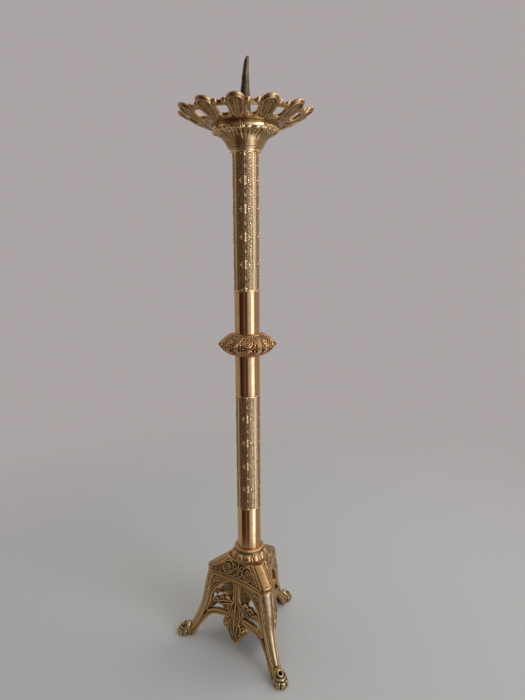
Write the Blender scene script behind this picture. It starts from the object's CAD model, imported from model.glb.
import math
import bpy
import numpy as np
from mathutils import Matrix, Vector


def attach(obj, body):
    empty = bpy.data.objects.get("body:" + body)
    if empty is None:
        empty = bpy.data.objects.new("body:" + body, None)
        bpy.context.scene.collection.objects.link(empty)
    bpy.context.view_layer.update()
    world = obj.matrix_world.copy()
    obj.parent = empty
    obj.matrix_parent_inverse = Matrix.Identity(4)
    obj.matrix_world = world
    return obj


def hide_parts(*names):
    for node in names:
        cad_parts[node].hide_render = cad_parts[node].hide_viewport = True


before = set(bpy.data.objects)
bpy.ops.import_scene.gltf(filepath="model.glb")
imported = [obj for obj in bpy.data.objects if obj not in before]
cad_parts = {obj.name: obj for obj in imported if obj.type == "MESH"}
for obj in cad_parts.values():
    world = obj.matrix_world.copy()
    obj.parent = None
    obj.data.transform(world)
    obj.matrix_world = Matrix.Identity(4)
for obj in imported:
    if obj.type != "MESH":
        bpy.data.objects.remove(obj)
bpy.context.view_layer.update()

PI = math.pi
SQ3 = math.sqrt(3.0)

# ----------------------------------------------------------------- mesh tools


def nets(F, wrap=False):
    """Surface nets: vertices (in sample coordinates) and quads of the F = 0 surface of a 3-D array. wrap closes axis 1 on itself."""
    if wrap:
        F = np.concatenate([F, F[:, :1]], axis=1)
    A, B, C = F.shape
    S = F < 0
    cnt = np.zeros((A - 1, B - 1, C - 1), np.int8)
    corners = [(i, j, k) for i in (0, 1) for j in (0, 1) for k in (0, 1)]
    for i, j, k in corners:
        cnt += S[i:A - 1 + i, j:B - 1 + j, k:C - 1 + k]
    act = (cnt > 0) & (cnt < 8)
    ci = np.argwhere(act)
    n = len(ci)
    idx = np.full(act.shape, -1, np.int64)
    idx[act] = np.arange(n)
    vals = np.stack([F[ci[:, 0] + i, ci[:, 1] + j, ci[:, 2] + k] for i, j, k in corners], 1)
    acc = np.zeros((n, 3))
    num = np.zeros(n)
    for a in range(8):
        for b in range(a + 1, 8):
            ca, cb = np.array(corners[a], float), np.array(corners[b], float)
            if abs(ca - cb).sum() != 1:
                continue
            va, vb = vals[:, a], vals[:, b]
            m = (va < 0) != (vb < 0)
            t = np.where(m, va / np.where(m, va - vb, 1.0), 0.0)
            acc += np.where(m[:, None], ca + t[:, None] * (cb - ca), 0.0)
            num += m
    P = ci + acc / num[:, None]
    quads = []

    def emit(sel, c, flip):
        q = np.stack([idx[x] for x in c], 1)
        ok = (q >= 0).all(1)
        q, flip = q[ok], flip[ok]
        q[flip] = q[flip][:, ::-1]
        quads.append(q)

    jr = 0 if wrap else 1
    # edges along axis 0
    e = np.argwhere(S[:-1, jr:B - 1, 1:C - 1] != S[1:, jr:B - 1, 1:C - 1])
    i, j, k = e[:, 0], e[:, 1] + jr, e[:, 2] + 1
    jm = (j - 1) % (B - 1)
    emit(None, [(i, jm, k - 1), (i, j, k - 1), (i, j, k), (i, jm, k)], ~S[i, j, k])
    # edges along axis 1
    e = np.argwhere(S[1:A - 1, :-1, 1:C - 1] != S[1:A - 1, 1:, 1:C - 1])
    i, j, k = e[:, 0] + 1, e[:, 1], e[:, 2] + 1
    emit(None, [(i - 1, j, k - 1), (i - 1, j, k), (i, j, k), (i, j, k - 1)], ~S[i, j, k])
    # edges along axis 2
    e = np.argwhere(S[1:A - 1, jr:B - 1, :-1] != S[1:A - 1, jr:B - 1, 1:])
    i, j, k = e[:, 0] + 1, e[:, 1] + jr, e[:, 2]
    jm = (j - 1) % (B - 1)
    emit(None, [(i - 1, jm, k), (i, jm, k), (i, j, k), (i - 1, j, k)], ~S[i, j, k])
    return P, np.concatenate(quads)


def neighbour_mean(X, E, deg):
    out = np.empty_like(X)
    n = len(X)
    for a in range(X.shape[1]):
        out[:, a] = (np.bincount(E[:, 0], X[E[:, 1], a], n) + np.bincount(E[:, 1], X[E[:, 0], a], n)) / deg
    return out


def edges_of(Q):
    return np.concatenate([Q[:, [0, 1]], Q[:, [1, 2]], Q[:, [2, 3]], Q[:, [3, 0]]])


def relax(P, Q, times=1, w=0.5):
    E = edges_of(Q)
    deg = np.maximum(np.bincount(E.ravel(), minlength=len(P)), 1).astype(float)
    for _ in range(times):
        P = P * (1 - w) + neighbour_mean(P, E, deg) * w
    return P


def vertex_normals(P, Q):
    n = np.cross(P[Q[:, 2]] - P[Q[:, 0]], P[Q[:, 3]] - P[Q[:, 1]])
    N = np.zeros_like(P)
    for k in range(4):
        for a in range(3):
            N[:, a] += np.bincount(Q[:, k], n[:, a], len(P))
    return N / np.maximum(np.linalg.norm(N, axis=1), 1e-12)[:, None]


def volume(P, Q):
    a, b, c, d = (P[Q[:, k]] for k in range(4))
    return (np.einsum("ij,ij->i", a, np.cross(b, c)) + np.einsum("ij,ij->i", a, np.cross(c, d))).sum() / 6


def drop_crumbs(P, Q, least=400):
    """Keeps only the connected pieces of at least that many vertices."""
    lab = np.arange(len(P))
    E = edges_of(Q)
    while True:
        m = np.minimum(lab[E[:, 0]], lab[E[:, 1]])
        new = lab.copy()
        np.minimum.at(new, E[:, 0], m)
        np.minimum.at(new, E[:, 1], m)
        new = new[new]
        if (new == lab).all():
            break
        lab = new
    cnt = np.bincount(lab, minlength=len(P))
    keep = cnt[lab] >= least
    remap = np.cumsum(keep) - 1
    Q = Q[keep[Q].all(1)]
    return P[keep], remap[Q]


def cavities(P, Q, times):
    """Per vertex: how far the smoothed surface stands in front of (+, a recess) or behind (-, an edge) the vertex, in mm."""
    E = edges_of(Q)
    deg = np.maximum(np.bincount(E.ravel(), minlength=len(P)), 1).astype(float)
    N = vertex_normals(P, Q)
    S = P.copy()
    for _ in range(times):
        S = S * 0.3 + neighbour_mean(S, E, deg) * 0.7
    return ((S - P) * N).sum(1)


def make(name, P, Q, material, body, nodes=(), cav=(3, 14), gain=(2.2, 0.9), extra=None):
    """A mesh piece from vertices in millimetres and quads, riding on a body."""
    if volume(P, Q) < 0:
        Q = Q[:, ::-1]
    c = np.clip(cavities(P, Q, cav[0]) * gain[0] + cavities(P, Q, cav[1]) * gain[1], -1, 1)
    me = bpy.data.meshes.new(name)
    n, m = len(P), len(Q)
    me.vertices.add(n)
    me.vertices.foreach_set("co", (P * 0.001).astype(np.float32).ravel())
    me.loops.add(4 * m)
    me.loops.foreach_set("vertex_index", Q.astype(np.int32).ravel())
    me.polygons.add(m)
    me.polygons.foreach_set("loop_start", np.arange(0, 4 * m, 4, dtype=np.int32))
    me.polygons.foreach_set("use_smooth", np.ones(m, bool))
    me.update()
    at = me.attributes.new("cav", "FLOAT", "POINT")
    at.data.foreach_set("value", (0.5 + 0.5 * c).astype(np.float32))
    g = me.attributes.new("deep", "FLOAT", "POINT")
    g.data.foreach_set("value", (np.zeros(n) if extra is None else extra).astype(np.float32))
    me.materials.append(material)
    ob = bpy.data.objects.new(name, me)
    bpy.context.scene.collection.objects.link(ob)
    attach(ob, body)
    if nodes:
        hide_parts(*nodes)
    return ob


def turned(P, deg):
    a = math.radians(deg)
    R = np.array([[math.cos(a), -math.sin(a), 0], [math.sin(a), math.cos(a), 0], [0, 0, 1]])
    return P @ R.T


def smin(a, b, k):
    h = np.clip(0.5 + 0.5 * (b - a) / k, 0, 1)
    return b + (a - b) * h - k * h * (1 - h)


def smax(a, b, k):
    return -smin(-a, -b, k)


def step(x, lo, hi):
    t = np.clip((x - lo) / (hi - lo), 0, 1)
    return t * t * (3 - 2 * t)


def bead(d, w, h):
    """Rounded raised line: d is the distance from its middle, w its half width."""
    return h * np.sqrt(np.clip(1 - (d / w) ** 2, 0, 1))


def groove(d, w, h):
    return -h * np.exp(-(d / w) ** 2)


def seg_dist(X, Y, pts, closed=False):
    """Distance from each point of the arrays X, Y to a polyline."""
    pts = list(pts)
    if closed:
        pts = pts + [pts[0]]
    best = np.full(np.broadcast(X, Y).shape, 1e9)
    for (x0, y0), (x1, y1) in zip(pts, pts[1:]):
        dx, dy = x1 - x0, y1 - y0
        t = np.clip(((X - x0) * dx + (Y - y0) * dy) / max(dx * dx + dy * dy, 1e-12), 0, 1)
        best = np.minimum(best, (X - x0 - t * dx) ** 2 + (Y - y0 - t * dy) ** 2)
    return np.sqrt(best)


def poly_sd(X, Y, pts):
    """Signed distance to a closed polygon, negative inside."""
    d = seg_dist(X, Y, pts, True)
    inside = np.zeros(d.shape, bool)
    n = len(pts)
    for i in range(n):
        x0, y0 = pts[i]
        x1, y1 = pts[(i + 1) % n]
        if y0 == y1:
            continue
        c = ((y0 > Y) != (y1 > Y)) & (X < (x1 - x0) * (Y - y0) / (y1 - y0) + x0)
        inside ^= c
    return np.where(inside, -d, d)


def smooth_chain(pts, n=8, closed=False):
    """Catmull-Rom points through a chain."""
    p = [np.array(q, float) for q in pts]
    m = len(p)
    out = []
    rng = range(m if closed else m - 1)
    for i in rng:
        p0 = p[(i - 1) % m] if closed or i > 0 else 2 * p[0] - p[1]
        p1, p2 = p[i], p[(i + 1) % m]
        p3 = p[(i + 2) % m] if closed or i + 2 < m else 2 * p[-1] - p[-2]
        for k in range(n):
            t = k / n
            out.append(tuple(0.5 * ((2 * p1) + (p2 - p0) * t + (2 * p0 - 5 * p1 + 4 * p2 - p3) * t * t + (3 * p1 - p0 - 3 * p2 + p3) * t ** 3)))
    if not closed:
        out.append(tuple(p[-1]))
    return out


def spiral(cx, cy, r0, r1, a0, turns, n=28, sx=1.0, sy=1.0):
    out = []
    for i in range(n + 1):
        t = i / n
        a = math.radians(a0) + 2 * PI * turns * t
        r = r0 + (r1 - r0) * t
        out.append((cx + sx * r * math.cos(a), cy + sy * r * math.sin(a)))
    return out


def resample(loop, spacing, bevel=0.22):
    """Points along a closed (r, z) loop, with each corner cut by a small bevel."""
    n = len(loop)
    cut = []
    for i in range(n):
        p0, p1, p2 = (np.array(loop[j % n], float) for j in (i - 1, i, i + 1))
        a, b = p0 - p1, p2 - p1
        la, lb = np.linalg.norm(a), np.linalg.norm(b)
        c = float(a @ b) / (la * lb)
        if c < -0.97:
            cut.append(p1)
            continue
        t = min(bevel, 0.4 * la, 0.4 * lb)
        cut += [p1 + a / la * t, p1 + b / lb * t]
    out = []
    m = len(cut)
    for i in range(m):
        p, q = cut[i], cut[(i + 1) % m]
        k = max(1, int(math.ceil(np.linalg.norm(q - p) / spacing)))
        for s in range(k):
            out.append(p + (q - p) * s / k)
    return np.array(out)


def lathe(loop, nth, disp=None, spacing=0.5, bevel=0.22):
    """Ring-shaped solid of revolution about Z. disp(theta, r, z, outward r, outward z) gives the relief along the normal."""
    L = resample(loop, spacing, bevel)
    U = len(L)
    T = np.roll(L, -1, 0) - np.roll(L, 1, 0)
    T /= np.linalg.norm(T, axis=1)[:, None]
    N = np.stack([T[:, 1], -T[:, 0]], 1)
    area = 0.5 * np.sum(L[:, 0] * np.roll(L[:, 1], -1) - np.roll(L[:, 0], -1) * L[:, 1])
    if area < 0:
        N = -N
    th = np.arange(nth) * 2 * PI / nth
    TH, R = np.meshgrid(th, L[:, 0])
    _, Z = np.meshgrid(th, L[:, 1])
    NR, NZ = N[:, 0][:, None], N[:, 1][:, None]
    D = np.zeros_like(R) if disp is None else disp(TH, R, Z, NR + 0 * R, NZ + 0 * R)
    R2, Z2 = R + D * NR, Z + D * NZ
    P = np.stack([R2 * np.cos(TH), R2 * np.sin(TH), Z2], -1).reshape(-1, 3)
    u, t = np.meshgrid(np.arange(U), np.arange(nth), indexing="ij")
    u2, t2 = (u + 1) % U, (t + 1) % nth
    Q = np.stack([u * nth + t, u * nth + t2, u2 * nth + t2, u2 * nth + t], -1).reshape(-1, 4)
    return P, Q, D.reshape(-1)


# ------------------------------------------------------------------ materials


def node(nt, kind, **inputs):
    n = nt.nodes.new(kind)
    for k, v in inputs.items():
        if k.startswith("_"):
            setattr(n, k[1:], v)
        else:
            n.inputs[k].default_value = v
    return n


def ramp(nt, src, stops):
    r = nt.nodes.new("ShaderNodeValToRGB")
    e = r.color_ramp.elements
    while len(e) > 1:
        e.remove(e[-1])
    e[0].position, e[0].color = stops[0][0], (*stops[0][1], 1)
    for p, c in stops[1:]:
        x = e.new(p)
        x.color = (*c, 1)
    nt.links.new(src, r.inputs["Fac"])
    return r


def mathn(nt, op, a, b=None, c=None, clamp=False):
    m = nt.nodes.new("ShaderNodeMath")
    m.operation = op
    m.use_clamp = clamp
    for i, x in enumerate((a, b, c)):
        if x is None:
            continue
        if hasattr(x, "links") or hasattr(x, "is_linked"):
            nt.links.new(x, m.inputs[i])
        else:
            m.inputs[i].default_value = x
    return m.outputs[0]


def mix_col(nt, fac, a, b):
    m = nt.nodes.new("ShaderNodeMix")
    m.data_type = "RGBA"
    if hasattr(fac, "links"):
        nt.links.new(fac, m.inputs["Factor"])
    else:
        m.inputs["Factor"].default_value = fac
    for s, x in ((6, a), (7, b)):
        if hasattr(x, "links"):
            nt.links.new(x, m.inputs[s])
        else:
            m.inputs[s].default_value = (*x, 1)
    return m.outputs[2]


def noise(nt, coord, scale, detail=4.0, rough=0.55, stretch=None, seed=0.0):
    n = nt.nodes.new("ShaderNodeTexNoise")
    n.noise_dimensions = "3D"
    n.inputs["Scale"].default_value = scale
    n.inputs["Detail"].default_value = detail
    n.inputs["Roughness"].default_value = rough
    mp = nt.nodes.new("ShaderNodeMapping")
    mp.inputs["Location"].default_value = (seed, seed * 0.7, seed * 1.3)
    if stretch:
        mp.inputs["Scale"].default_value = stretch
    nt.links.new(coord, mp.inputs["Vector"])
    nt.links.new(mp.outputs[0], n.inputs["Vector"])
    return n.outputs["Fac"]


def brass(name, clean, tarnish, dark, rough=(0.16, 0.34), dark_rough=0.6, cav_gain=1.0, blotch=0.35, grain=0.12,
          brushed=None, pits=0.0, edge=0.4, deep=0.0, seed=1.0, dull=0.25):
    """Aged brass: clean metal on the edges, tarnish in patches, dark patina in the recesses (from the mesh's own relief)."""
    mat = bpy.data.materials.new(name)
    mat.use_nodes = True
    nt = mat.node_tree
    bsdf = nt.nodes["Principled BSDF"]
    tc = nt.nodes.new("ShaderNodeTexCoord").outputs["Object"]
    big = noise(nt, tc, 38.0, 5.0, 0.6, seed=seed)
    mid = noise(nt, tc, 170.0, 5.0, 0.6, seed=seed + 3)
    fine = noise(nt, tc, 1300.0, 3.0, 0.6, seed=seed + 7)
    at = node(nt, "ShaderNodeAttribute", _attribute_name="cav")
    cav = at.outputs["Fac"]
    dp = node(nt, "ShaderNodeAttribute", _attribute_name="deep").outputs["Fac"]
    # recess mask: attribute above 0.5, broken up by noise
    c1 = mathn(nt, "SUBTRACT", cav, 0.5)
    c2 = mathn(nt, "MULTIPLY", c1, 3.4 * cav_gain)
    wob = mathn(nt, "MULTIPLY", mathn(nt, "SUBTRACT", mid, 0.5), 0.9)
    rec = mathn(nt, "ADD", c2, wob, clamp=False)
    rec = mathn(nt, "ADD", rec, mathn(nt, "MULTIPLY", dp, deep))
    rec = mathn(nt, "SMOOTH_MIN", rec, 1.0, 0.2)
    rec = mathn(nt, "MAXIMUM", rec, 0.0)
    # worn edges
    ed = mathn(nt, "MULTIPLY", c1, -5.0 * edge)
    ed = mathn(nt, "MAXIMUM", mathn(nt, "MINIMUM", ed, 1.0), 0.0)
    bl = ramp(nt, big, [(0.35, (0, 0, 0)), (0.68, (1, 1, 1))]).outputs["Color"]
    bl = mathn(nt, "MULTIPLY", bl, blotch)
    bl2 = mathn(nt, "MULTIPLY", mathn(nt, "SUBTRACT", mid, 0.42), blotch * 1.3)
    tar = mathn(nt, "MAXIMUM", mathn(nt, "MINIMUM", mathn(nt, "ADD", bl, bl2), 1.0), 0.0)
    col = mix_col(nt, tar, clean, tarnish)
    bright = tuple(min(1.0, x * 1.36) for x in clean)
    col = mix_col(nt, ed, col, bright)
    col = mix_col(nt, rec, col, dark)
    if pits > 0:
        pt = noise(nt, tc, 620.0, 2.0, 0.5, seed=seed + 11)
        pm = ramp(nt, pt, [(0.60, (0, 0, 0)), (0.72, (1, 1, 1))]).outputs["Color"]
        col = mix_col(nt, mathn(nt, "MULTIPLY", pm, pits), col, dark)
    nt.links.new(col, bsdf.inputs["Base Color"])
    bsdf.inputs["Metallic"].default_value = 1.0
    met = mathn(nt, "SUBTRACT", 1.0, mathn(nt, "MULTIPLY", rec, dull))
    nt.links.new(met, bsdf.inputs["Metallic"])
    r0, r1 = rough
    rr = mathn(nt, "ADD", r0, mathn(nt, "MULTIPLY", mathn(nt, "ADD", mathn(nt, "MULTIPLY", mid, 0.6), mathn(nt, "MULTIPLY", big, 0.4)), r1 - r0))
    rr = mathn(nt, "ADD", rr, mathn(nt, "MULTIPLY", tar, 0.12))
    rr = mathn(nt, "ADD", mathn(nt, "MULTIPLY", rr, mathn(nt, "SUBTRACT", 1.0, rec)), mathn(nt, "MULTIPLY", rec, dark_rough))
    nt.links.new(rr, bsdf.inputs["Roughness"])
    h = mathn(nt, "ADD", mathn(nt, "MULTIPLY", fine, 0.5), mathn(nt, "MULTIPLY", mid, 1.0))
    if brushed:
        sc = noise(nt, tc, 900.0, 2.0, 0.5, stretch=brushed, seed=seed + 5)
        h = mathn(nt, "ADD", h, mathn(nt, "MULTIPLY", sc, 0.8))
    bp = nt.nodes.new("ShaderNodeBump")
    bp.inputs["Strength"].default_value = grain
    bp.inputs["Distance"].default_value = 0.0004
    nt.links.new(h, bp.inputs["Height"])
    nt.links.new(bp.outputs[0], bsdf.inputs["Normal"])
    return mat


def plain(name, base, rough, metallic=1.0, grain=0.1, seed=4.0):
    mat = bpy.data.materials.new(name)
    mat.use_nodes = True
    nt = mat.node_tree
    bsdf = nt.nodes["Principled BSDF"]
    tc = nt.nodes.new("ShaderNodeTexCoord").outputs["Object"]
    n1 = noise(nt, tc, 120.0, 5.0, seed=seed)
    n2 = noise(nt, tc, 1500.0, 3.0, seed=seed + 2)
    dk = tuple(x * 0.45 for x in base)
    nt.links.new(ramp(nt, n1, [(0.3, dk), (0.65, base)]).outputs["Color"], bsdf.inputs["Base Color"])
    nt.links.new(mathn(nt, "ADD", rough, mathn(nt, "MULTIPLY", n1, 0.2)), bsdf.inputs["Roughness"])
    bsdf.inputs["Metallic"].default_value = metallic
    bp = nt.nodes.new("ShaderNodeBump")
    bp.inputs["Strength"].default_value = grain
    bp.inputs["Distance"].default_value = 0.0004
    nt.links.new(n2, bp.inputs["Height"])
    nt.links.new(bp.outputs[0], bsdf.inputs["Normal"])
    return mat


DARK = (0.040, 0.022, 0.009)
M_CAST = brass("brass_cast", (0.50, 0.305, 0.13), (0.21, 0.12, 0.048), DARK, rough=(0.2, 0.36), cav_gain=2.0, blotch=0.8, grain=0.24, pits=0.35, edge=1.2, deep=0.9, seed=1.0)
M_KNOP = brass("brass_knop", (0.52, 0.30, 0.13), (0.25, 0.125, 0.052), (0.105, 0.048, 0.019), rough=(0.19, 0.34), cav_gain=1.25, blotch=0.7, grain=0.2, pits=0.3, edge=0.8, deep=0.65, seed=29.0, dull=0.1)
M_PAN = brass("brass_pan", (0.46, 0.275, 0.115), (0.21, 0.118, 0.047), DARK, rough=(0.2, 0.34), cav_gain=1.2, blotch=0.8, grain=0.2, pits=0.3, edge=0.8, deep=0.8, seed=37.0)
M_BAND = brass("brass_band", (0.86, 0.61, 0.33), (0.56, 0.36, 0.17), DARK, rough=(0.17, 0.28), cav_gain=1.6, blotch=0.6, grain=0.12, pits=0.4, edge=0.8, deep=0.8, seed=33.0)
M_POLISH = brass("brass_polished", (0.70, 0.425, 0.195), (0.46, 0.255, 0.11), DARK, rough=(0.09, 0.17), blotch=0.4, grain=0.05, pits=0.25, cav_gain=1.6, deep=0.9, seed=5.0)
M_ENGR = brass("brass_engraved", (0.84, 0.54, 0.26), (0.50, 0.285, 0.12), (0.225, 0.120, 0.050), rough=(0.18, 0.32), dark_rough=0.9, blotch=0.5, grain=0.3, cav_gain=3.0, deep=1.0, edge=0.9, seed=9.0, dull=0.0)
M_RIB = brass("brass_rubbed", (0.49, 0.355, 0.168), (0.17, 0.105, 0.047), DARK, rough=(0.17, 0.28), blotch=0.85, grain=0.16, pits=0.4, cav_gain=1.9, edge=1.0, deep=0.9, seed=13.0)
M_SPIKE = brass("brass_spike", (0.15, 0.105, 0.06), (0.07, 0.046, 0.027), (0.012, 0.008, 0.006), rough=(0.3, 0.48), blotch=0.8, grain=0.35, pits=0.6, seed=17.0)
M_BELL = brass("brass_bell", (0.56, 0.36, 0.16), (0.26, 0.15, 0.06), DARK, rough=(0.17, 0.30), cav_gain=1.5, blotch=0.7, grain=0.12, pits=0.3, edge=1.0, deep=0.7, seed=21.0)
M_STEEL = plain("steel_plain", (0.20, 0.18, 0.16), 0.45)
M_BRASS_IN = plain("brass_inner", (0.35, 0.22, 0.09), 0.4, seed=6.0)

# ---------------------------------------------------------------- dimensions
LEG_AZ = {"left": 180.0, "back": 60.0, "right": -60.0}
PANEL_AZ = {"front": -120.0, "right": 0.0, "back": 120.0}
Z1, Z2, ZK0, ZKM, ZK1, Z3, ZN0, ZN1, ZC1, ZS1 = 194.6, 341.9, 391.6, 405.2, 418.1, 469.2, 621.7, 625.6, 644.9, 650.3
SEAT_Z = 131.0

# ---------------------------------------------------------------- plain tubes


def tube(name, z0, z1, mat, nth=200):
    P, Q, D = lathe([(15.0, z0), (15.0, z0 + 1.1), (15.0, z0 + 2.2), (15.0, z1 - 2.2), (15.0, z1 - 1.1), (15.0, z1), (13.5, z1), (13.5, z0)], nth, spacing=2.5, bevel=0.3)
    end = np.minimum(P[:, 2] - z0, z1 - P[:, 2])
    return make(name, P, Q, mat, "stand", [name], cav=(2, 4), gain=(1.5, 0.5), extra=np.clip(1.25 - end / 1.3, 0, 1))


tube("tube_bottom", SEAT_Z, Z1, M_POLISH).name = "stem_tube_bottom"
tube("tube_mid_lower", Z2, ZK0, M_POLISH).name = "stem_tube_mid_lower"
tube("tube_mid_upper", ZK1, Z3, M_POLISH).name = "stem_tube_mid_upper"

# ------------------------------------------------------------ engraved sleeves


def boss(x, y, cx, cy, rx, ry, h):
    """Low domed boss."""
    return 1.25 * h * np.clip(1 - ((x - cx) / rx) ** 2 - ((y - cy) / ry) ** 2, 0, 1)


def cross_relief(x, y):
    """Heights (mm) of an embossed cross, about 12.4 by 10.6 mm, with rounded arms and lobed ends."""
    x, y = abs(x), abs(y)
    h = bead(x, np.interp(y, [0, 2.6, 4.0, 5.0, 5.4], [1.6, 1.05, 1.6, 0.9, 0.05]), 0.68) * (y < 5.4)
    h = np.maximum(h, bead(y, np.interp(x, [0, 2.4, 3.0], [1.2, 0.7, 0.9]), 0.42) * (x < 3.6))
    h = np.maximum(h, boss(x, y, 4.6, 0.0, 1.55, 1.85, 0.68))
    h = np.maximum(h, boss(x, y, 4.2, 2.3, 1.05, 1.1, 0.5))
    h = np.maximum(h, boss(x, y, 6.1, 0.0, 0.75, 0.85, 0.33))
    h = np.maximum(h, boss(x, y, 2.0, 3.6, 0.9, 0.8, 0.34))
    h = np.maximum(h, bead(np.hypot(x - 2.0, y - 1.9), 0.8, 0.28))
    return h


def small_relief(x, y):
    h = bead(x, np.interp(y, [-2.1, -1.2, 0.4, 2.6], [0.1, 1.5, 0.85, 0.05]), 0.42) * (y > -2.1) * (y < 2.6)
    h = np.maximum(h, boss(x, y, 0.0, -2.6, 0.9, 0.55, 0.3))
    return np.maximum(h, boss(abs(x), y, 1.9, -1.0, 0.7, 0.6, 0.3))


def sleeve(name, z0, z1):
    zc = (z0 + z1) / 2
    PITCH = 30.7

    def disp(TH, R, Z, NR, NZ):
        out = NR > 0.9
        dz = Z - zc
        k = np.round(dz / PITCH)
        ksm = dz - k * PITCH                                  # small motifs at the middle and every pitch
        kb = (np.floor(dz / PITCH) + 0.5) * PITCH
        ybig = dz - kb                                        # crosses half way between
        col = TH / (PI / 2)
        xx = (col - np.round(col)) * (PI / 2) * 15.0
        h = np.maximum(cross_relief(xx, ybig), small_relief(xx, ksm))
        h = np.maximum(h, small_relief(xx, ksm + 7.6) * 0.6)
        h = np.maximum(h, small_relief(xx, -(ksm - 7.6)) * 0.6)
        # little sprigs beside the column
        h = np.maximum(h, bead(np.hypot(abs(xx) - 6.6, ksm), 1.0, 0.3))
        # two plain fillets and a plain strip between the engraved fields
        edge_x = PI / 4 * 15.0 - abs(xx)
        fil = bead(edge_x - 2.0, 0.42, 0.42)
        strip = step(-edge_x, -1.35, -1.0) * 0.42
        # matted ground: fine slanting hatch with tiny pits
        u, v = TH * 15.0, Z
        mat = 0.5 + 0.5 * np.cos(2 * PI * (0.8 * u + v) / 2.3)
        pit = np.cos(2 * PI * (1.1 * u - v) / 2.9) * np.cos(2 * PI * (u * 0.7 + 1.3 * v) / 3.7)
        cu, cv = u / 1.85, v / 1.85
        iu, iv = np.floor(cu), np.floor(cv)
        chance = np.mod(np.sin(iu * 12.9898 + iv * 78.233) * 43758.5453, 1.0)
        dot = np.sqrt(np.clip(1 - ((cu - iu - 0.5) ** 2 + (cv - iv - 0.5) ** 2) / 0.2, 0, 1)) * (chance > 0.45) * (0.4 + 0.6 * chance)
        gr = np.maximum(0.06 * mat + 0.1 * np.clip(pit, 0, 1), 0.15 * dot)
        h = np.maximum(np.maximum(h, gr), np.maximum(fil, strip))
        edge = np.minimum(Z - z0, z1 - Z)
        band = step(-edge, -1.0, -0.7) * 0.36
        h = np.maximum(h, band) - 0.45
        return np.where(out, h, 0.0)

    P, Q, D = lathe([(15.0, z0), (15.0, z1), (13.5, z1), (13.5, z0)], 300, disp, spacing=0.36, bevel=0.3)
    ex = np.clip((-D - 0.10) / 0.2, 0, 1)
    ex = np.maximum(ex, np.clip(1.6 - np.minimum(P[:, 2] - z0, z1 - P[:, 2]) / 0.4, 0, 1))
    c4 = np.arctan2(P[:, 1], P[:, 0]) / (PI / 2)
    ex = np.maximum(ex, 0.5 * step(abs(c4 - np.round(c4)) * (PI / 2) * 15.0, 10.3, 10.7))      # the plain strips are duller
    ob = make("stem_" + name[5:], P, Q, M_ENGR, "stand", [name], cav=(2, 8), gain=(5.0, 2.5), extra=ex)
    return ob


sleeve("tube_lower_engraved", Z1, Z2)
sleeve("tube_upper_engraved", Z3, ZN0)

# ---------------------------------------------------------------------- knop


def leaf(x, y, L, W, veins=6, skew=1.1, lobes=0.14, ridge=0.35, dome=1.0):
    """Relief (0..~1) of a pointed leaf growing along +y from y = 0 to L, and its rim distance."""
    t = np.clip(y / L, 0, 1)
    ax = abs(x)
    ph = (y - skew * ax) / (L / veins)
    half = W * np.sin(PI * t ** 0.72) ** 0.75 * (1 + lobes * np.cos(2 * PI * ph))
    half = np.maximum(half, 1e-3)
    s = ax / half
    inside = (s < 1) & (y > 0) & (y < L)
    body = np.where(inside, np.sqrt(np.clip(1 - s ** 2, 0, 1)), 0.0)
    h = dome * body ** 0.7
    h += np.where(inside, bead(ax, W * 0.09 + 0.25, ridge), 0)
    h -= np.where(inside, 0.42 * (0.5 - 0.5 * np.cos(2 * PI * ph)) * step(ax, 0.4, 1.4) * body, 0)
    return h


def knop(name, lower):
    prof = [(16.0, ZK1), (20.5, 416.6), (26.0, 413.4), (31.0, 409.4), (34.4, 406.2), (35.25, 405.2)]
    base = smooth_chain(prof, 5)
    inn = [(31.5, 405.2), (27.0, 408.8), (22.0, 412.0), (17.0, 413.8), (4.6, 413.8)]
    loop = base + inn + [(4.6, ZK1)]
    if lower:
        loop = [(r, ZKM - (z - ZKM) * (ZKM - ZK0) / (ZK1 - ZKM)) for r, z in loop]
    top = ZK0 if lower else ZK1

    def disp(TH, R, Z, NR, NZ):
        sgn = -1 if lower else 1
        outer = (NZ * sgn > 0.05) & (R > 16.3) | ((NR > 0.5) & (R > 30))
        y = 25.0 * np.clip((35.25 - R) / 19.25, 0, 1) ** 0.93                # 0 at the rim, ~25 at the tube
        n = 8
        a0 = math.radians(-83.8 + 22.5)
        sec = (TH - a0) / (2 * PI / n)
        k = np.round(sec)
        x = (sec - k) * (2 * PI / n) * R
        par = np.where(np.mod(k, 2) == 0, 1.0, -1.0)
        # leaf growing from the tube outwards, tip turned over near the rim
        lf = leaf(x + par * 3.4 * np.sin((25 - y) / 25 * PI * 1.3), 24.5 - y, 24.3, 7.6, veins=5, lobes=0.3, ridge=0.3)
        sec2 = sec + 0.5
        x2 = (sec2 - np.round(sec2)) * (2 * PI / n) * R
        scroll = spiral(0.8, 8.6, 5.6, 1.0, -120, 1.7, 30)
        sp = bead(seg_dist(x2 * par, y, scroll), 1.45, 1.0)
        lf2 = 0.55 * leaf(x2, y, 13.0, 6.4, veins=4)
        h = np.maximum(lf * 1.5, np.maximum(sp * 1.5, lf2 * 1.1))
        h = np.maximum(h, 0.42)
        rim = bead(y - 0.9, 1.0, 0.55 + 0.4 * np.cos(2 * PI * sec * 3))
        h = np.maximum(h * step(y, 0.2, 1.4), rim)
        collar = bead(y - 24.0, 1.2, 1.0)
        h = np.maximum(h * (1 - step(y, 21.5, 23.0)), collar)
        h = h - 1.25
        tip = step(y, 0.0, 1.2)
        return np.where(outer, np.clip(h, -1.25, 0.5) * np.clip(tip, 0.2, 1), 0.0)

    P, Q, D = lathe(loop, 460, disp, spacing=0.42, bevel=0.25)
    make("knop_shell_lower" if lower else "knop_shell_upper", P, Q, M_KNOP, "stand", [name], cav=(5, 16), gain=(2.6, 2.2),
         extra=np.clip((-D - (0.30 if lower else 0.62)) / 0.5, 0, 1) + (0.3 if lower else 0.0))


knop("knop_upper", False)
knop("knop_lower", True)

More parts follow.
